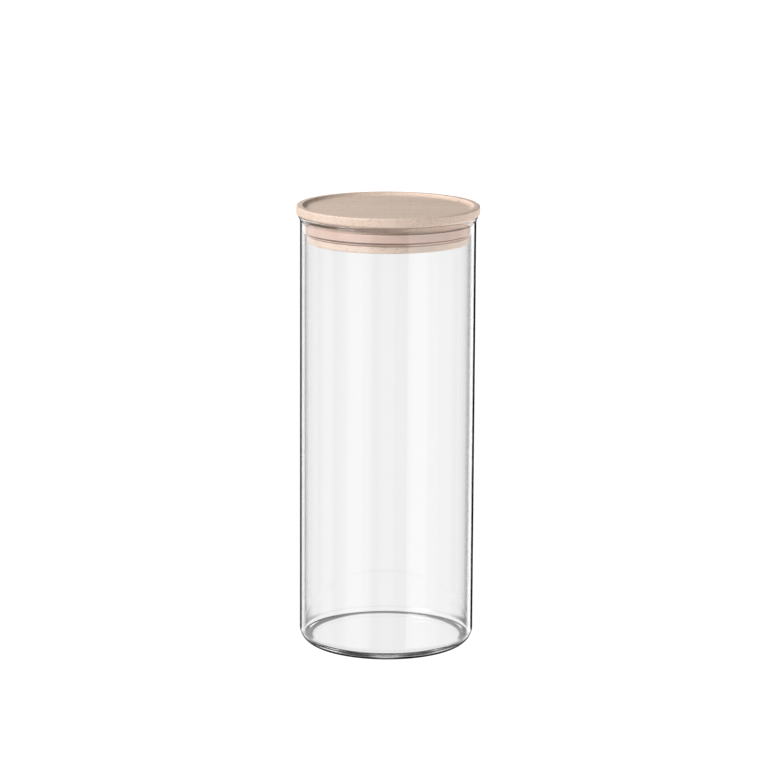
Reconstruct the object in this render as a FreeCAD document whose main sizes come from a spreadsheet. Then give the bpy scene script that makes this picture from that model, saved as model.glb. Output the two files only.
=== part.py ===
"""Lidded glass canister: a blown glass jar, a turned beech lid and the silicone lip seal in the
lid's groove. Millimetres, +Z up, origin at the middle of the base, on the surface it stands on.

Every piece is turned about Z. Each body is drawn in the XZ plane from sketches whose dimensions
are bound to the sheet "Sizes". The jar starts at z = 0. The lid and its seal are drawn from the
plane where the lid's flange rests on the rim, so their bodies are placed at the jar's height."""

import FreeCAD, Part
import math
import os
import Sketcher

doc = FreeCAD.newDocument("canister")

# ---------------------------------------------------------------- driving sizes

SIZES = [
    # glass jar
    ("jar_radius", 55.0),  # outside of the straight wall
    ("jar_height", 274.0),  # base to rim, which is also where the lid's flange rests
    ("wall", 1.8),
    ("floor", 5.0),  # glass under the inside floor
    ("base_corner", 10.0),  # outside radius between wall and base
    ("inner_corner", 2.5),  # inside radius between wall and floor
    ("lip_flare", 1.0),  # how far the rim stands out past the wall
    ("lip_height", 4.5),  # from the rim down to where the wall is straight again
    ("rim_round", 0.9),  # radius of both fire-polished edges of the rim
    # turned beech lid
    ("flange_overhang", 1.2),  # flange beyond the glass rim
    ("flange_thickness", 6.0),
    ("flange_top_round", 1.0),
    ("flange_under_round", 1.5),
    ("border_width", 3.8),  # raised border round the recess, at its top
    ("recess_depth", 2.1),
    ("cove_radius", 3.8),  # cutter radius where the recess floor turns up to the border
    ("border_ease", 0.3),  # sanded inner edge of the border
    ("plug_clearance", 2.7),  # plug to glass, which the seal spans
    ("plug_depth", 16.6),  # below the flange
    ("plug_ease", 0.6),  # eased edge at the bottom of the plug
    ("groove_start", 4.6),  # flange to the upper side of the seal groove
    ("groove_height", 7.8),
    ("groove_depth", 1.9),
    ("groove_ease", 0.3),  # eased edges where the groove opens
    # silicone lip seal, drawn as the mouth presses it
    ("seal_play", 0.1),  # clearance to the groove's three sides
    ("glass_clearance", 0.1),  # pressed lip to the glass
    ("band_thickness", 1.3),
    ("lip_lift", 2.6),  # seal's lower edge to the foot of the lip, which goes on to its top
    ("lip_thickness", 0.8),
    ("lip_ease", 0.3),  # moulded round at the lip's outer corners
    ("web_thickness", 0.8),  # web that joins the lip's foot to the band
    ("web_fall", 0.6),  # how much lower the web meets the band than the lip
    ("bead_lift", 0.7),  # seal's lower edge to the guard bead under the web
    ("bead_height", 0.7),
    ("bead_reach", 1.2),  # bead beyond the band
    ("bead_ease", 0.25),
]

sheet = doc.addObject("Spreadsheet::Sheet", "Sizes")
for row, (alias, value) in enumerate(SIZES, start=1):
    sheet.set(f"A{row}", alias)
    sheet.set(f"B{row}", str(value))
    sheet.setAlias(f"B{row}", alias)
doc.recompute()


def size(expression):
    """The value that an expression in the sheet's aliases has now, for a sketch's first guess."""
    return float(sheet.evalExpression(expression))


# ---------------------------------------------------------------- sketches and features

ORIGIN = (-1, 1)
X_AXIS = -1
Z_AXIS = -2
START, END, CENTRE = 1, 2, 3


def new_body(label):
    body = doc.addObject("PartDesign::Body", label)
    body.Label = label
    return body


def half_section(body, name):
    """An empty sketch in the body's XZ plane. Its x is the radius and its y is the height."""
    sketch = body.newObject("Sketcher::SketchObject", name)
    planes = [plane for plane in body.Origin.OriginFeatures if plane.Role == "XZ_Plane"]
    sketch.AttachmentSupport = [(planes[0], "")]
    sketch.MapMode = "FlatFace"
    return sketch


def point(x, z):
    return FreeCAD.Vector(x, z, 0)


def line(sketch, start, end):
    return sketch.addGeometry(Part.LineSegment(point(*start), point(*end)), False)


def arc(sketch, centre, radius, first, last):
    """An arc from angle first to angle last, in degrees, counter-clockwise about centre."""
    circle = Part.Circle(point(*centre), FreeCAD.Vector(0, 0, 1), radius)
    ends = [math.radians(angle) for angle in (first, last)]
    return sketch.addGeometry(Part.ArcOfCircle(circle, *ends), False)


def join(sketch, *ends):
    """Makes each pair of curve ends one point: (curve, end), (curve, end), ..."""
    for (curve, end), (other, other_end) in zip(ends[::2], ends[1::2]):
        sketch.addConstraint(Sketcher.Constraint("Coincident", curve, end, other, other_end))


def smooth(sketch, curve, end, other, other_end):
    """Joins two curve ends tangentially."""
    sketch.addConstraint(Sketcher.Constraint("Tangent", curve, end, other, other_end))


def level(sketch, *curves):
    for curve in curves:
        sketch.addConstraint(Sketcher.Constraint("Horizontal", curve))


def upright(sketch, *curves):
    for curve in curves:
        sketch.addConstraint(Sketcher.Constraint("Vertical", curve))


def on_axis(sketch, curve, end, axis):
    sketch.addConstraint(Sketcher.Constraint("PointOnObject", curve, end, axis))


def bind(sketch, name, constraint, expression):
    """Adds a dimension and ties it to the sheet."""
    index = sketch.addConstraint(constraint)
    sketch.renameConstraint(index, name)
    sketch.setExpression(f"Constraints.{name}", sheet_terms(expression))


def sheet_terms(expression):
    """The expression with the sheet's name put before each alias."""
    words = expression.replace("(", " ( ").replace(")", " ) ").split()
    aliases = {alias for alias, _ in SIZES}
    return " ".join(f"Sizes.{word}" if word in aliases else word for word in words)


def radius_at(sketch, name, curve, end, expression):
    """Distance of a point from the axis of rotation."""
    rule = Sketcher.Constraint("DistanceX", *ORIGIN, curve, end, size(expression))
    bind(sketch, name, rule, expression)


def above(sketch, name, curve, end, expression):
    rule = Sketcher.Constraint("DistanceY", *ORIGIN, curve, end, size(expression))
    bind(sketch, name, rule, expression)


def below(sketch, name, curve, end, expression):
    rule = Sketcher.Constraint("DistanceY", curve, end, *ORIGIN, size(expression))
    bind(sketch, name, rule, expression)


def arc_radius(sketch, name, curve, expression):
    bind(sketch, name, Sketcher.Constraint("Radius", curve, size(expression)), expression)


def turn(body, sketch, kind, name):
    """Revolves the sketch about Z: PartDesign::Revolution adds, PartDesign::Groove cuts."""
    doc.recompute()
    before = body.Shape.Volume if kind.endswith("Groove") else None
    feature = body.newObject(kind, name)
    feature.Profile = sketch
    feature.ReferenceAxis = (sketch, ["V_Axis"])
    feature.Angle = 360.0
    doc.recompute()
    if before is not None and not body.Shape.Volume < before:
        raise RuntimeError(f"{body.Label}: {name} removed nothing")
    return feature


def ring_edges(body, radius, height):
    """Names of the round edges about Z with this radius at this height in the body's own frame."""
    found = []
    for number, edge in enumerate(body.Tip.Shape.Edges, start=1):
        if edge.Degenerated or not isinstance(edge.Curve, Part.Circle):
            continue
        off = max(abs(edge.Curve.Radius - radius), abs(edge.Curve.Center.z - height))
        if off < 1e-4:
            found.append(f"Edge{number}")
    if not found:
        raise RuntimeError(f"{body.Label}: no round edge of radius {radius} at {height}")
    return found


def round_edge(body, name, radius_expression, height_expression, fillet_expression):
    """Fillets the ring edge at a radius and a height."""
    edges = ring_edges(body, size(radius_expression), size(height_expression))
    base = body.Tip
    fillet = body.newObject("PartDesign::Fillet", name)
    fillet.Base = (base, edges)
    fillet.setExpression("Radius", sheet_terms(fillet_expression))
    doc.recompute()
    return fillet


# ---------------------------------------------------------------- glass jar

BORE = "( jar_radius - wall )"
LIP_RADIUS = "( jar_radius + lip_flare )"
BASE_FLAT = "( jar_radius - base_corner )"


def jar_outside(body):
    """The jar as a solid piece of glass: flat base, rounded corner, wall, flared rim."""
    sketch = half_section(body, "outside")
    wall = size("jar_radius")
    top = size("jar_height")
    corner = size("base_corner")
    flat = size(BASE_FLAT)
    rim = size("rim_round")
    lip = size(LIP_RADIUS)
    lip_start = top - size("lip_height")

    # The flare is an arc that leaves the wall tangentially and meets the rim's round edge.
    drop = top - rim - lip_start
    flare = (drop**2 + (lip - wall) ** 2) / (2 * (lip - wall)) - rim
    meet = math.degrees(math.asin(drop / (flare + rim)))

    base = line(sketch, (0, 0), (flat, 0))
    turn_up = arc(sketch, (flat, corner), corner, 270, 360)
    side = line(sketch, (wall, corner), (wall, lip_start))
    lip_curve = arc(sketch, (wall + flare, lip_start), flare, 180 - meet, 180)
    edge = arc(sketch, (lip - rim, top - rim), rim, -meet, 90)
    rim_top = line(sketch, (lip - rim, top), (0, top))
    axis = line(sketch, (0, top), (0, 0))

    smooth(sketch, base, END, turn_up, START)
    smooth(sketch, turn_up, END, side, START)
    smooth(sketch, side, END, lip_curve, END)
    smooth(sketch, lip_curve, START, edge, START)
    smooth(sketch, edge, END, rim_top, START)
    join(sketch, (rim_top, END), (axis, START), (axis, END), (base, START), (axis, END), ORIGIN)
    level(sketch, rim_top)
    upright(sketch, side)
    on_axis(sketch, base, END, X_AXIS)
    on_axis(sketch, axis, START, Z_AXIS)
    arc_radius(sketch, "corner", turn_up, "base_corner")
    radius_at(sketch, "side_radius", side, START, "jar_radius")
    above(sketch, "lip_start", side, END, "jar_height - lip_height")
    above(sketch, "rim_height", axis, START, "jar_height")
    arc_radius(sketch, "rim_edge", edge, "rim_round")
    radius_at(sketch, "rim_reach", edge, CENTRE, f"{LIP_RADIUS} - rim_round")
    return sketch


def jar_hollow(body):
    """The space inside the jar, from its floor to the rim."""
    sketch = half_section(body, "hollow")
    bore = size(BORE)
    top = size("jar_height")
    floor = size("floor")
    corner = size("inner_corner")

    bottom = line(sketch, (0, floor), (bore - corner, floor))
    turn_up = arc(sketch, (bore - corner, floor + corner), corner, 270, 360)
    side = line(sketch, (bore, floor + corner), (bore, top))
    mouth = line(sketch, (bore, top), (0, top))
    axis = line(sketch, (0, top), (0, floor))

    smooth(sketch, bottom, END, turn_up, START)
    smooth(sketch, turn_up, END, side, START)
    join(sketch, (side, END), (mouth, START), (mouth, END), (axis, START), (axis, END), (bottom, START))
    level(sketch, bottom, mouth)
    upright(sketch, side)
    on_axis(sketch, axis, START, Z_AXIS)
    on_axis(sketch, axis, END, Z_AXIS)
    above(sketch, "floor_height", bottom, START, "floor")
    above(sketch, "mouth_height", mouth, END, "jar_height")
    radius_at(sketch, "bore", side, START, BORE)
    arc_radius(sketch, "corner", turn_up, "inner_corner")
    return sketch


def make_jar():
    body = new_body("glass_jar")
    turn(body, jar_outside(body), "PartDesign::Revolution", "glass")
    turn(body, jar_hollow(body), "PartDesign::Groove", "hollow_cut")
    round_edge(body, "mouth_edge", BORE, "jar_height", "rim_round")
    return body


# ---------------------------------------------------------------- turned beech lid

FLANGE = f"( {LIP_RADIUS} + flange_overhang )"
PLUG = f"( {BORE} - plug_clearance )"
GROOVE_FLOOR = f"( {PLUG} - groove_depth )"
GROOVE_END = "( groove_start + groove_height )"


def lid_blank(body):
    """Flange above the seat plane and plug below it."""
    sketch = half_section(body, "blank")
    flange = size(FLANGE)
    plug = size(PLUG)
    top = size("flange_thickness")
    depth = size("plug_depth")

    end_face = line(sketch, (0, -depth), (plug, -depth))
    plug_side = line(sketch, (plug, -depth), (plug, 0))
    seat = line(sketch, (plug, 0), (flange, 0))
    flange_side = line(sketch, (flange, 0), (flange, top))
    face = line(sketch, (flange, top), (0, top))
    axis = line(sketch, (0, top), (0, -depth))
    outline = [end_face, plug_side, seat, flange_side, face, axis]
    for curve, following in zip(outline, outline[1:] + outline[:1]):
        join(sketch, (curve, END), (following, START))
    level(sketch, end_face, seat, face)
    upright(sketch, plug_side, flange_side)
    on_axis(sketch, axis, START, Z_AXIS)
    on_axis(sketch, axis, END, Z_AXIS)
    on_axis(sketch, seat, START, X_AXIS)
    radius_at(sketch, "plug", plug_side, START, PLUG)
    radius_at(sketch, "flange", flange_side, START, FLANGE)
    above(sketch, "thickness", face, START, "flange_thickness")
    below(sketch, "depth", end_face, START, "plug_depth")
    return sketch


def lid_recess(body):
    """Shallow dish in the lid's face, with a coved side that runs up to the raised border."""
    sketch = half_section(body, "recess")
    top = size("flange_thickness")
    floor = top - size("recess_depth")
    border = size(f"{FLANGE} - border_width")
    cove = size("cove_radius")
    rise = size("recess_depth")
    climb = math.degrees(math.acos(1 - rise / cove))
    run = cove * math.sin(math.radians(climb))

    bottom = line(sketch, (0, floor), (border - run, floor))
    side = arc(sketch, (border - run, floor + cove), cove, 270, 270 + climb)
    face = line(sketch, (border, top), (0, top))
    axis = line(sketch, (0, top), (0, floor))
    smooth(sketch, bottom, END, side, START)
    join(sketch, (side, END), (face, START), (face, END), (axis, START), (axis, END), (bottom, START))
    level(sketch, bottom, face)
    on_axis(sketch, axis, START, Z_AXIS)
    on_axis(sketch, axis, END, Z_AXIS)
    above(sketch, "face_height", face, START, "flange_thickness")
    above(sketch, "dish_floor", bottom, START, "flange_thickness - recess_depth")
    radius_at(sketch, "border_inside", face, START, f"{FLANGE} - border_width")
    arc_radius(sketch, "cove", side, "cove_radius")
    return sketch


def lid_groove(body):
    """Square groove round the plug that holds the seal."""
    sketch = half_section(body, "groove")
    floor = size(GROOVE_FLOOR)
    outside = size(FLANGE)
    start = size("groove_start")
    end = size(GROOVE_END)

    low = line(sketch, (floor, -end), (outside, -end))
    open_side = line(sketch, (outside, -end), (outside, -start))
    high = line(sketch, (outside, -start), (floor, -start))
    back = line(sketch, (floor, -start), (floor, -end))
    outline = [low, open_side, high, back]
    for curve, following in zip(outline, outline[1:] + outline[:1]):
        join(sketch, (curve, END), (following, START))
    level(sketch, low, high)
    upright(sketch, open_side, back)
    radius_at(sketch, "groove_floor", back, START, GROOVE_FLOOR)
    radius_at(sketch, "clear_of_plug", open_side, START, FLANGE)
    below(sketch, "upper_side", high, START, "groove_start")
    below(sketch, "lower_side", low, START, GROOVE_END)
    return sketch


def make_lid():
    body = new_body("wooden_lid")
    turn(body, lid_blank(body), "PartDesign::Revolution", "blank_turned")
    turn(body, lid_recess(body), "PartDesign::Groove", "recess_cut")
    turn(body, lid_groove(body), "PartDesign::Groove", "groove_cut")
    round_edge(body, "face_edge", FLANGE, "flange_thickness", "flange_top_round")
    round_edge(body, "under_edge", FLANGE, "0", "flange_under_round")
    round_edge(body, "border_edge", f"{FLANGE} - border_width", "flange_thickness", "border_ease")
    round_edge(body, "plug_edge", PLUG, "0 - plug_depth", "plug_ease")
    round_edge(body, "groove_upper_edge", PLUG, "0 - groove_start", "groove_ease")
    round_edge(body, "groove_lower_edge", PLUG, f"0 - {GROOVE_END}", "groove_ease")
    body.setExpression("Placement.Base.z", "Sizes.jar_height")
    return body


# ---------------------------------------------------------------- silicone lip seal

SEAL_TOP = "( groove_start + seal_play )"
SEAL_BOTTOM = f"( {GROOVE_END} - seal_play )"
BAND_INSIDE = f"( {GROOVE_FLOOR} + seal_play )"
BAND_OUTSIDE = f"( {BAND_INSIDE} + band_thickness )"
LIP_FACE = f"( {BORE} - glass_clearance )"
LIP_BACK = f"( {LIP_FACE} - lip_thickness )"
LIP_FOOT = f"( {SEAL_BOTTOM} - lip_lift )"
WEB_FOOT = f"( {LIP_FOOT} + web_fall )"
BEAD_FACE = f"( {BAND_OUTSIDE} + bead_reach )"
BEAD_FOOT = f"( {SEAL_BOTTOM} - bead_lift )"
BEAD_TOP = f"( {BEAD_FOOT} - bead_height )"


def seal_section(body):
    """A band in the groove whose lip is folded up flat against the glass. The web between them
    rises outwards, and a guard bead runs round the band below the web."""
    sketch = half_section(body, "section")
    # Each corner is (name, radius, depth below the seat plane), in order round the section.
    corners = [
        ("band_foot_inside", BAND_INSIDE, SEAL_BOTTOM),
        ("band_foot", BAND_OUTSIDE, SEAL_BOTTOM),
        ("bead_under_root", BAND_OUTSIDE, BEAD_FOOT),
        ("bead_under", BEAD_FACE, BEAD_FOOT),
        ("bead_upper", BEAD_FACE, BEAD_TOP),
        ("bead_upper_root", BAND_OUTSIDE, BEAD_TOP),
        ("web_under", BAND_OUTSIDE, WEB_FOOT),
        ("lip_foot", LIP_FACE, LIP_FOOT),
        ("lip_top", LIP_FACE, SEAL_TOP),
        ("lip_crest", LIP_BACK, SEAL_TOP),
        ("lip_root", LIP_BACK, f"{LIP_FOOT} - web_thickness"),
        ("web_upper", BAND_OUTSIDE, f"{WEB_FOOT} - web_thickness"),
        ("band_crest", BAND_OUTSIDE, SEAL_TOP),
        ("band_crest_inside", BAND_INSIDE, SEAL_TOP),
    ]
    places = [(size(radius), -size(depth)) for _, radius, depth in corners]
    curves = [
        line(sketch, place, following)
        for place, following in zip(places, places[1:] + places[:1])
    ]
    for curve, following in zip(curves, curves[1:] + curves[:1]):
        join(sketch, (curve, END), (following, START))
    for curve, (name, radius, depth) in zip(curves, corners):
        radius_at(sketch, f"{name}_radius", curve, START, radius)
        below(sketch, f"{name}_depth", curve, START, depth)
    return sketch


def make_seal():
    body = new_body("silicone_seal")
    turn(body, seal_section(body), "PartDesign::Revolution", "ring")
    round_edge(body, "lip_top_edge", LIP_FACE, f"0 - {SEAL_TOP}", "lip_ease")
    round_edge(body, "lip_foot_edge", LIP_FACE, f"0 - {LIP_FOOT}", "lip_ease")
    round_edge(body, "bead_upper_edge", BEAD_FACE, f"0 - {BEAD_TOP}", "bead_ease")
    round_edge(body, "bead_under_edge", BEAD_FACE, f"0 - {BEAD_FOOT}", "bead_ease")
    body.setExpression("Placement.Base.z", "Sizes.jar_height")
    return body


# ---------------------------------------------------------------- build, check and write

bodies = [make_jar(), make_lid(), make_seal()]
doc.recompute()

for item in doc.Objects:
    if "Invalid" in item.State or "Error" in item.State:
        raise RuntimeError(f"{item.Label} failed: {item.State}")

os.makedirs("parts", exist_ok=True)
for body in bodies:
    shape = body.Shape
    if shape.isNull() or not shape.isValid() or len(shape.Solids) != 1:
        raise RuntimeError(f"{body.Label} is not one valid solid")
    shape.exportStep(f"parts/{body.Label}.step")
    box = shape.optimalBoundingBox(True, False)
    print(
        f"{body.Label}: volume {shape.Volume / 1000:.2f} cm3, radius {box.XMax:.2f}, "
        f"z {box.ZMin:.2f} to {box.ZMax:.2f}"
    )
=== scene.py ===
"""Looks for the lidded glass canister: glass jar, turned beech lid, silicone lip seal.

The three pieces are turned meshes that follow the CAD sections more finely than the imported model
does, so each one replaces its CAD node. Sections are in millimetres as (radius, height, round)
corners, and every object is in metres."""

import math

import bpy
from mathutils import Matrix, Vector


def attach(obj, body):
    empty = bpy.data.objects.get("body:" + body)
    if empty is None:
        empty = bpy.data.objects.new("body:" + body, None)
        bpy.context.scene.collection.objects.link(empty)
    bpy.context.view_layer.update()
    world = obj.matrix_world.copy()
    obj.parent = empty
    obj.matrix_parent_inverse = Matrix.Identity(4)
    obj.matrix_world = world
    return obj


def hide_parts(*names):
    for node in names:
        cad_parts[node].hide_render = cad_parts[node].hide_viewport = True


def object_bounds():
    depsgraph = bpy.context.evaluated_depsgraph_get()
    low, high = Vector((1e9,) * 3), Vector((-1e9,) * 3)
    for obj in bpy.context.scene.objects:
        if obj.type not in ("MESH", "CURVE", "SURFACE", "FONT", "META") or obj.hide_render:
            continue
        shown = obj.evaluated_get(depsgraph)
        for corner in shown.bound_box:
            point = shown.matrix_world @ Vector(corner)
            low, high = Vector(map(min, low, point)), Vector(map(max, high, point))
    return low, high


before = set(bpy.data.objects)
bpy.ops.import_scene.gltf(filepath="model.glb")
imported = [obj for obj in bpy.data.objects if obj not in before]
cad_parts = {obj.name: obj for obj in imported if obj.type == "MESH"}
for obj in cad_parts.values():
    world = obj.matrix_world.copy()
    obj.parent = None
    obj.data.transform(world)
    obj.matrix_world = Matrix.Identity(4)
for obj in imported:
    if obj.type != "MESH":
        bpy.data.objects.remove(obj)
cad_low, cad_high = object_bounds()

MM = 0.001
TURN_STEPS = 288  # segments round a turned piece

scene = bpy.context.scene


# ---------------------------------------------------------------- turned sections


def corner_arc(before, corner, after, radius, step_degrees):
    """Points of the round that replaces a corner of the section."""
    come = (Vector(before) - Vector(corner)).normalized()
    leave = (Vector(after) - Vector(corner)).normalized()
    turn = math.pi - come.angle(leave)
    reach = radius * math.tan(turn / 2)
    first = Vector(corner) + come * reach
    last = Vector(corner) + leave * reach
    centre = Vector(corner) + (come + leave).normalized() * (radius / math.cos(turn / 2))
    steps = max(3, math.ceil(math.degrees(turn) / step_degrees))
    points = []
    for i in range(steps + 1):
        share = i / steps
        a = math.sin((1 - share) * turn) / math.sin(turn)
        b = math.sin(share * turn) / math.sin(turn)
        points.append(centre + (first - centre) * a + (last - centre) * b)
    return points


def rounded_section(corners, step_degrees=6.0, support=0.25, longest=25.0):
    """The section's points: rounds in place of corners, an extra point close to each end of a
    straight run, so that its shading stays straight, and more points along long runs."""
    runs = []
    last_index = len(corners) - 1
    for i, (r, z, radius) in enumerate(corners):
        if radius and 0 < i < last_index:
            before = corners[i - 1][:2]
            after = corners[i + 1][:2]
            runs.append(corner_arc(before, (r, z), after, radius, step_degrees))
        else:
            runs.append([Vector((r, z))])
    points = list(runs[0])
    for run in runs[1:]:
        start = points[-1]
        gap = run[0] - start
        length = gap.length
        if length > 4 * support:
            along = gap / length
            points.append(start + along * support)
            pieces = math.ceil((length - 2 * support) / longest)
            for k in range(1, pieces):
                points.append(start + along * (support + (length - 2 * support) * k / pieces))
            points.append(run[0] - along * support)
        if length > 1e-4:
            points.append(run[0])
        points.extend(run[1:])
    return points


def turned(name, points, closed, material, crease_degrees=28.0):
    """A mesh turned about Z from a section. The section either closes on itself or starts and
    ends on the axis, where each end is one vertex."""
    verts = []
    rings = []
    for point in points:
        radius, height = point.x * MM, point.y * MM
        if radius < 1e-7:
            rings.append([len(verts)])
            verts.append((0, 0, height))
            continue
        rings.append(list(range(len(verts), len(verts) + TURN_STEPS)))
        for k in range(TURN_STEPS):
            angle = 2 * math.pi * k / TURN_STEPS
            verts.append((radius * math.cos(angle), radius * math.sin(angle), height))
    faces = []
    pairs = list(zip(rings, rings[1:]))
    if closed:
        pairs.append((rings[-1], rings[0]))
    for low, high in pairs:
        for k in range(TURN_STEPS):
            n = (k + 1) % TURN_STEPS
            if len(low) == 1:
                faces.append((low[0], high[n], high[k]))
            elif len(high) == 1:
                faces.append((low[k], low[n], high[0]))
            else:
                faces.append((low[k], low[n], high[n], high[k]))
    mesh = bpy.data.meshes.new(name)
    mesh.from_pydata(verts, [], faces)
    mesh.validate()
    mesh.polygons.foreach_set("use_smooth", [True] * len(mesh.polygons))
    mesh.set_sharp_from_angle(angle=math.radians(crease_degrees))
    mesh.materials.append(material)
    piece = bpy.data.objects.new(name, mesh)
    scene.collection.objects.link(piece)
    return piece


# ---------------------------------------------------------------- node helpers


def new_material(name):
    material = bpy.data.materials.new(name)
    material.use_nodes = True
    tree = material.node_tree
    shader = tree.nodes["Principled BSDF"]
    return material, tree, shader


def node(tree, kind, **values):
    made = tree.nodes.new(kind)
    for key, value in values.items():
        if hasattr(made, key):
            setattr(made, key, value)
        else:
            made.inputs[key.replace("_", " ")].default_value = value
    return made


def stretched(tree, scale):
    """Object coordinates scaled per axis, per metre."""
    place = node(tree, "ShaderNodeTexCoord")
    mapping = node(tree, "ShaderNodeMapping")
    mapping.inputs["Scale"].default_value = scale
    tree.links.new(place.outputs["Object"], mapping.inputs["Vector"])
    return mapping.outputs["Vector"]


def noise(tree, vector, scale, detail, roughness=0.5, distortion=0.0):
    made = node(tree, "ShaderNodeTexNoise")
    made.inputs["Scale"].default_value = scale
    made.inputs["Detail"].default_value = detail
    made.inputs["Roughness"].default_value = roughness
    made.inputs["Distortion"].default_value = distortion
    tree.links.new(vector, made.inputs["Vector"])
    return made.outputs["Fac"]


def ramp(tree, factor, stops):
    """Colour ramp from (position, colour) stops."""
    made = node(tree, "ShaderNodeValToRGB")
    elements = made.color_ramp.elements
    while len(elements) < len(stops):
        elements.new(0.5)
    for element, (position, colour) in zip(elements, stops):
        element.position = position
        element.color = (*colour, 1.0)
    tree.links.new(factor, made.inputs["Fac"])
    return made.outputs["Color"]


def grey(value):
    return (value, value, value)


def multiplied(tree, first, second, amount=1.0):
    mix = node(tree, "ShaderNodeMix", data_type="RGBA", blend_type="MULTIPLY")
    mix.inputs["Factor"].default_value = amount
    tree.links.new(first, mix.inputs[6])
    tree.links.new(second, mix.inputs[7])
    return mix.outputs[2]


def bump(tree, shader, height, strength, distance):
    made = node(tree, "ShaderNodeBump")
    made.inputs["Strength"].default_value = strength
    made.inputs["Distance"].default_value = distance
    tree.links.new(height, made.inputs["Height"])
    tree.links.new(made.outputs["Normal"], shader.inputs["Normal"])


# ---------------------------------------------------------------- materials


def clear_glass():
    """Clear glass with a trace of waviness from blowing."""
    material, tree, shader = new_material("clear_glass")
    shader.inputs["Base Color"].default_value = (0.996, 0.997, 0.997, 1.0)
    shader.inputs["Roughness"].default_value = 0.0
    shader.inputs["IOR"].default_value = 1.47
    shader.inputs["Transmission Weight"].default_value = 1.0
    waves = noise(tree, stretched(tree, (1.0, 1.0, 0.35)), 38.0, 1.0)
    bump(tree, shader, waves, 0.05, 0.0004)
    return material


def beech():
    """Light beech cut along X: soft growth bands, fine fibre and short dark ray flecks."""
    material, tree, shader = new_material("beech")
    bands = noise(tree, stretched(tree, (2.5, 60.0, 60.0)), 1.0, 3.0, 0.55, 0.6)
    fibre = noise(tree, stretched(tree, (22.0, 900.0, 900.0)), 1.0, 3.0, 0.6)
    flecks = noise(tree, stretched(tree, (260.0, 1900.0, 1900.0)), 1.0, 1.0, 0.4)
    base = ramp(
        tree,
        bands,
        [(0.30, (0.765, 0.600, 0.490)), (0.50, (0.810, 0.645, 0.535)), (0.72, (0.835, 0.675, 0.565))],
    )
    fine = ramp(tree, fibre, [(0.30, grey(0.90)), (0.62, grey(1.0))])
    marks = ramp(tree, flecks, [(0.30, (0.70, 0.60, 0.54)), (0.40, grey(1.0))])
    colour = multiplied(tree, multiplied(tree, base, fine), marks, 0.8)
    tree.links.new(colour, shader.inputs["Base Color"])
    rough = ramp(tree, fibre, [(0.2, grey(0.62)), (0.8, grey(0.50))])
    tree.links.new(rough, shader.inputs["Roughness"])
    shader.inputs["Specular IOR Level"].default_value = 0.35
    bump(tree, shader, fibre, 0.25, 0.00012)
    return material


def silicone():
    """Milky translucent silicone with a satin skin."""
    material, tree, shader = new_material("silicone")
    skin = noise(tree, stretched(tree, (1.0, 1.0, 1.0)), 900.0, 2.0)
    tone = ramp(tree, skin, [(0.3, (0.61, 0.445, 0.375)), (0.7, (0.65, 0.48, 0.41))])
    tree.links.new(tone, shader.inputs["Base Color"])
    rough = ramp(tree, skin, [(0.2, grey(0.34)), (0.8, grey(0.46))])
    tree.links.new(rough, shader.inputs["Roughness"])
    shader.inputs["IOR"].default_value = 1.41
    shader.inputs["Subsurface Weight"].default_value = 0.35
    shader.inputs["Subsurface Radius"].default_value = (1.0, 0.8, 0.7)
    shader.inputs["Subsurface Scale"].default_value = 0.0015
    bump(tree, shader, skin, 0.15, 0.00004)
    return material


# ---------------------------------------------------------------- sections of the pieces

WALL_RADIUS = 55.0
BORE_RADIUS = 53.2
FLOOR_HEIGHT = 5.0
BASE_CORNER = 10.0
INNER_CORNER = 2.5
RIM_HEIGHT = 274.0
RIM_ROUND = 0.9
FLARE_REACH = 1.0  # rim beyond the wall
FLARE_START = RIM_HEIGHT - 4.5

PLUG_RADIUS = 50.5
PLUG_END = 257.4
GROOVE_FLOOR = 48.6
GROOVE_TOP = 269.4
GROOVE_END = 261.6
FLANGE_RADIUS = 57.2
LID_TOP = 280.0
RECESS_FLOOR = 277.9
BORDER_INSIDE = 53.4
COVE_RADIUS = 3.8
PLUG_EASE = 0.6
GROOVE_EASE = 0.3
SEAT_EASE = 0.1  # inside corner between plug and flange
UNDER_ROUND = 1.5
TOP_ROUND = 1.0
BORDER_EASE = 0.3

SEAL_BACK = 48.7
SEAL_FOOT = 261.7
SEAL_TOP = 269.3
BAND_FACE = 50.0
BAND_EASE = 0.15
BEAD_REACH = 51.2
BEAD_FOOT = 262.4
BEAD_TOP = 263.1
BEAD_EASE = 0.25
INSIDE_EASE = 0.12  # inside corners beside the bead
WEB_UNDER = 263.7  # where the web's underside meets the band
WEB_OVER = 264.5  # where its upper side does
LIP_BACK = 52.3
LIP_FACE = 53.1
LIP_FOOT = 264.3
LIP_CROTCH = 265.1  # where the web's upper side meets the lip
LIP_EASE = 0.3
LIP_TIP_EASE = 0.2
SEAM = (265.5, 265.6)  # the section's two ends, on the back of the band


def jar_section():
    """From the middle of the base, out and up over the rim, and down to the middle of the floor."""
    drop = RIM_HEIGHT - RIM_ROUND - FLARE_START
    sweep = (drop**2 + FLARE_REACH**2) / (2 * FLARE_REACH)
    lean = math.asin(drop / sweep)
    flare = sweep - RIM_ROUND
    flare_corner = FLARE_START + flare * math.tan(lean / 2)
    rim_corner = WALL_RADIUS + (RIM_HEIGHT - flare_corner) * math.tan(lean)
    return [
        (0, 0, 0),
        (WALL_RADIUS, 0, BASE_CORNER),
        (WALL_RADIUS, flare_corner, flare),
        (rim_corner, RIM_HEIGHT, RIM_ROUND),
        (BORE_RADIUS, RIM_HEIGHT, RIM_ROUND),
        (BORE_RADIUS, FLOOR_HEIGHT, INNER_CORNER),
        (0, FLOOR_HEIGHT, 0),
    ]


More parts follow.
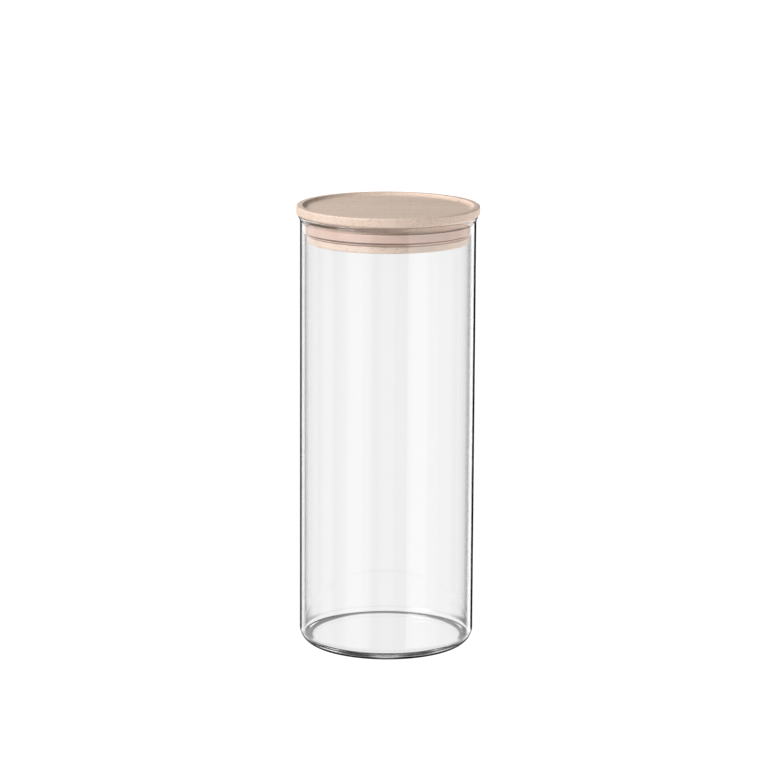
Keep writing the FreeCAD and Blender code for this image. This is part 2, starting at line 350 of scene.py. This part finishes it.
def lid_section():
    """From the middle of the plug's end, up its side and round the flange to the recess floor."""
    rise = LID_TOP - RECESS_FLOOR
    climb = math.acos(1 - rise / COVE_RADIUS)
    cove_corner = BORDER_INSIDE - rise / math.tan(climb)
    return [
        (0, PLUG_END, 0),
        (PLUG_RADIUS, PLUG_END, PLUG_EASE),
        (PLUG_RADIUS, GROOVE_END, GROOVE_EASE),
        (GROOVE_FLOOR, GROOVE_END, 0),
        (GROOVE_FLOOR, GROOVE_TOP, 0),
        (PLUG_RADIUS, GROOVE_TOP, GROOVE_EASE),
        (PLUG_RADIUS, RIM_HEIGHT, SEAT_EASE),
        (FLANGE_RADIUS, RIM_HEIGHT, UNDER_ROUND),
        (FLANGE_RADIUS, LID_TOP, TOP_ROUND),
        (BORDER_INSIDE, LID_TOP, BORDER_EASE),
        (cove_corner, RECESS_FLOOR, COVE_RADIUS * 0.9),
        (0, RECESS_FLOOR, 0),
    ]


def seal_section():
    """Band in the groove, guard bead, web, and the lip pressed flat along the glass."""
    return [
        (SEAL_BACK, SEAM[0], 0),
        (SEAL_BACK, SEAL_FOOT, BAND_EASE),
        (BAND_FACE, SEAL_FOOT, BAND_EASE),
        (BAND_FACE, BEAD_FOOT, INSIDE_EASE),
        (BEAD_REACH, BEAD_FOOT, BEAD_EASE),
        (BEAD_REACH, BEAD_TOP, BEAD_EASE),
        (BAND_FACE, BEAD_TOP, INSIDE_EASE),
        (BAND_FACE, WEB_UNDER, INSIDE_EASE),
        (LIP_FACE, LIP_FOOT, LIP_EASE),
        (LIP_FACE, SEAL_TOP, LIP_EASE),
        (LIP_BACK, SEAL_TOP, LIP_TIP_EASE),
        (LIP_BACK, LIP_CROTCH, LIP_EASE),
        (BAND_FACE, WEB_OVER, LIP_EASE),
        (BAND_FACE, SEAL_TOP, BAND_EASE),
        (SEAL_BACK, SEAL_TOP, BAND_EASE),
        (SEAL_BACK, SEAM[1], 0),
    ]


jar = turned("jar_glass", rounded_section(jar_section(), 4.5), False, clear_glass())
lid = turned("lid_beech", rounded_section(lid_section()), False, beech())
seal = turned("seal_silicone", rounded_section(seal_section(), 12.0, 0.12), True, silicone())

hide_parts("glass_jar")
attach(jar, "jar")
# The studio lights the seal and the plug as if the clear glass weren't there.
jar.visible_shadow = False
jar.visible_diffuse = False
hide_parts("wooden_lid")
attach(lid, "lid")
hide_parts("silicone_seal")
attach(seal, "seal")


# ---------------------------------------------------------------- studio

# Brightness of the studio by direction, as (degrees, brightness). Azimuth 0 is straight behind the
# object as the camera sees it, and positive is to the right. Seen through the glass, a light
# backdrop fills the middle, and dark flags beside it draw the glass's edges. Fainter strips stand
# all round the object, so that its edges also show from the sides and the back.
BEHIND_GLASS = [
    (-45, 0.93), (-42, 1.35), (-27, 1.35), (-25, 0.12), (-10, 0.12), (-7, 0.55), (-5, 0.93),
    (5, 0.93), (7, 0.45), (9, 0.0), (25, 0.0), (27, 1.70), (42, 1.70), (45, 0.93),
]
ROUND_GLASS = [
    (64, 0.93), (67, 0.60), (78, 0.60), (81, 0.93), (99, 0.93), (102, 0.55), (122, 0.55),
    (125, 0.93), (145, 0.93), (148, 0.65), (168, 0.65), (171, 0.93),
]
# Mirrored by the outside of the glass, two tall soft boxes stand either side of the camera.
OFF_GLASS = [
    (-180, 0.50), (-162, 0.50), (-155, 2.10), (-125, 1.80), (-110, 1.00), (-54, 0.93), (-50, 0.40),
    (-43, 0.40), (-41, 1.35), (-27, 1.35), (-25, 0.12), (-10, 0.12), (-7, 0.55), (-5, 0.93),
    (5, 0.93), (7, 0.45), (9, 0.0), (25, 0.0), (27, 1.70), (42, 1.70), (44, 0.30), (52, 0.30),
    (55, 0.80), (100, 0.85), (112, 2.20), (152, 2.35), (155, 0.50), (180, 0.50),
]
# How the same brightness falls off with elevation.
THROUGH_ELEVATION = [
    (-90, 0.10), (-44, 0.10), (-38, 1.0), (-10, 0.97), (-5, 0.82), (12, 0.9), (35, 0.85), (50, 0.3),
]
OFF_ELEVATION = [
    (-90, 1.0), (-58, 1.0), (-50, 0.05), (-34, 0.05), (-22, 1.0), (20, 1.0), (40, 0.5), (90, 0.3),
]
# Light on matt surfaces, besides the key light: mostly from the right, below the lid's face.
LIGHT_BELOW = [(-180, 0.12), (50, 0.12), (70, 2.7), (115, 2.7), (140, 1.2), (165, 0.12)]
LIGHT_ABOVE = 0.13
BRIGHTEST = 2.5  # a ramp's colours are shares of this
DIRECT = 1.1  # what the camera sees beside the object


def maths(tree, operation, first, second=None):
    made = node(tree, "ShaderNodeMath", operation=operation)
    for socket, value in zip(made.inputs, (first, second)):
        if isinstance(value, (int, float)):
            socket.default_value = value
        elif value is not None:
            tree.links.new(value, socket)
    return made.outputs[0]


def chosen(tree, factor, when_0, when_1):
    made = node(tree, "ShaderNodeMix", data_type="FLOAT")
    for socket, value in zip((made.inputs[0], made.inputs[2], made.inputs[3]), (factor, when_0, when_1)):
        if isinstance(value, (int, float)):
            socket.default_value = value
        else:
            tree.links.new(value, socket)
    return made.outputs[0]


def profile(tree, factor, stops, whole):
    """Brightness read from (degrees, brightness) stops, where factor runs from 0 to 1 over the
    whole range of degrees."""
    low, high = whole
    shares = [((angle - low) / (high - low), grey(value / BRIGHTEST)) for angle, value in stops]
    colour = ramp(tree, factor, shares)
    return maths(tree, "MULTIPLY", colour, BRIGHTEST)


def make_room():
    world = bpy.data.worlds.new("studio")
    scene.world = world
    world.use_nodes = True
    tree = world.node_tree
    background = tree.nodes["Background"]
    background.inputs["Color"].default_value = (1, 1, 1, 1)
    place = node(tree, "ShaderNodeTexCoord")
    axes = node(tree, "ShaderNodeSeparateXYZ")
    tree.links.new(place.outputs["Generated"], axes.inputs[0])
    x, y, z = axes.outputs
    turn = maths(tree, "ARCTAN2", x, y)
    azimuth = maths(tree, "MULTIPLY_ADD", turn, 1 / (2 * math.pi))
    azimuth.node.inputs[2].default_value = 0.5
    climb = maths(tree, "ARCSINE", z)
    elevation = maths(tree, "MULTIPLY_ADD", climb, 1 / math.pi)
    elevation.node.inputs[2].default_value = 0.5
    around, upright = (-180, 180), (-90, 90)
    to_side = maths(tree, "ABSOLUTE", turn)
    half_turn = maths(tree, "MULTIPLY", to_side, 1 / math.pi)
    beside = maths(tree, "GREATER_THAN", half_turn, 0.25)
    behind = profile(tree, azimuth, BEHIND_GLASS, around)
    elsewhere = profile(tree, half_turn, ROUND_GLASS, (0, 180))
    through = maths(
        tree,
        "MULTIPLY",
        chosen(tree, beside, behind, elsewhere),
        profile(tree, elevation, THROUGH_ELEVATION, upright),
    )
    off = maths(
        tree,
        "MULTIPLY",
        profile(tree, azimuth, OFF_GLASS, around),
        profile(tree, elevation, OFF_ELEVATION, upright),
    )
    above = maths(tree, "GREATER_THAN", z, 0.0)
    lighting = chosen(tree, above, profile(tree, azimuth, LIGHT_BELOW, around), LIGHT_ABOVE)
    path = node(tree, "ShaderNodeLightPath")
    matt = maths(tree, "GREATER_THAN", path.outputs["Diffuse Depth"], 0.5)
    glass = chosen(tree, path.outputs["Is Transmission Ray"], off, through)
    seen = chosen(tree, path.outputs["Is Camera Ray"], glass, DIRECT)
    tree.links.new(chosen(tree, matt, seen, lighting), background.inputs["Strength"])


def make_floor():
    """A plain pale floor as bright as the room behind it."""
    mesh = bpy.data.meshes.new("floor")
    reach, drop = 9, -0.0002
    mesh.from_pydata(
        [(-reach, -reach, drop), (reach, -reach, drop), (reach, reach, drop), (-reach, reach, drop)],
        [],
        [(0, 1, 2, 3)],
    )
    material = bpy.data.materials.new("pale_floor")
    material.use_nodes = True
    tree = material.node_tree
    tree.nodes.clear()
    glow = node(tree, "ShaderNodeEmission")
    glow.inputs["Strength"].default_value = DIRECT
    output = node(tree, "ShaderNodeOutputMaterial")
    tree.links.new(glow.outputs["Emission"], output.inputs["Surface"])
    mesh.materials.append(material)
    floor = bpy.data.objects.new("floor", mesh)
    scene.collection.objects.link(floor)
    floor.visible_diffuse = False
    floor.visible_glossy = False
    floor.visible_transmission = False
    floor.visible_shadow = False


def soft_box(name, azimuth, elevation, distance, size, radiance):
    """An area light that faces the lid. Azimuth 0 is at the camera's side (-Y), 90 is at +X."""
    light = bpy.data.lights.new(name, "AREA")
    light.shape = "RECTANGLE"
    light.size, light.size_y = size
    light.energy = radiance * math.pi * size[0] * size[1]
    lamp = bpy.data.objects.new(name, light)
    scene.collection.objects.link(lamp)
    a, e = math.radians(azimuth), math.radians(elevation)
    target = Vector((0, 0, cad_high.z))
    away = Vector((math.sin(a) * math.cos(e), -math.cos(a) * math.cos(e), math.sin(e)))
    lamp.location = target + away * distance
    lamp.rotation_euler = (-away).to_track_quat("-Z", "Y").to_euler()
    lamp.visible_camera = False
    return lamp


make_room()
make_floor()
soft_box("key_left", -58, 29, 1.3, (0.6, 0.6), 17.5)


# ---------------------------------------------------------------- camera

CAMERA_DISTANCE = 2.1799
CAMERA_HEIGHT = 0.6120
CAMERA_SIDE = -0.00205
CAMERA_PITCH = 0.2017  # below the horizon
CAMERA_ROLL = 0.0051
LENS = 166.03

camera_data = bpy.data.cameras.new("camera")
camera_data.lens = LENS
camera_data.sensor_width = 36.0
camera = bpy.data.objects.new("camera", camera_data)
scene.collection.objects.link(camera)
camera.matrix_world = (
    Matrix.Translation((CAMERA_SIDE, -CAMERA_DISTANCE, CAMERA_HEIGHT))
    @ Matrix.Rotation(math.pi / 2 - CAMERA_PITCH, 4, "X")
    @ Matrix.Rotation(CAMERA_ROLL, 4, "Z")
)
camera_data.clip_start = 0.05
camera_data.clip_end = 60.0
scene.camera = camera

scene.view_settings.view_transform = "Standard"
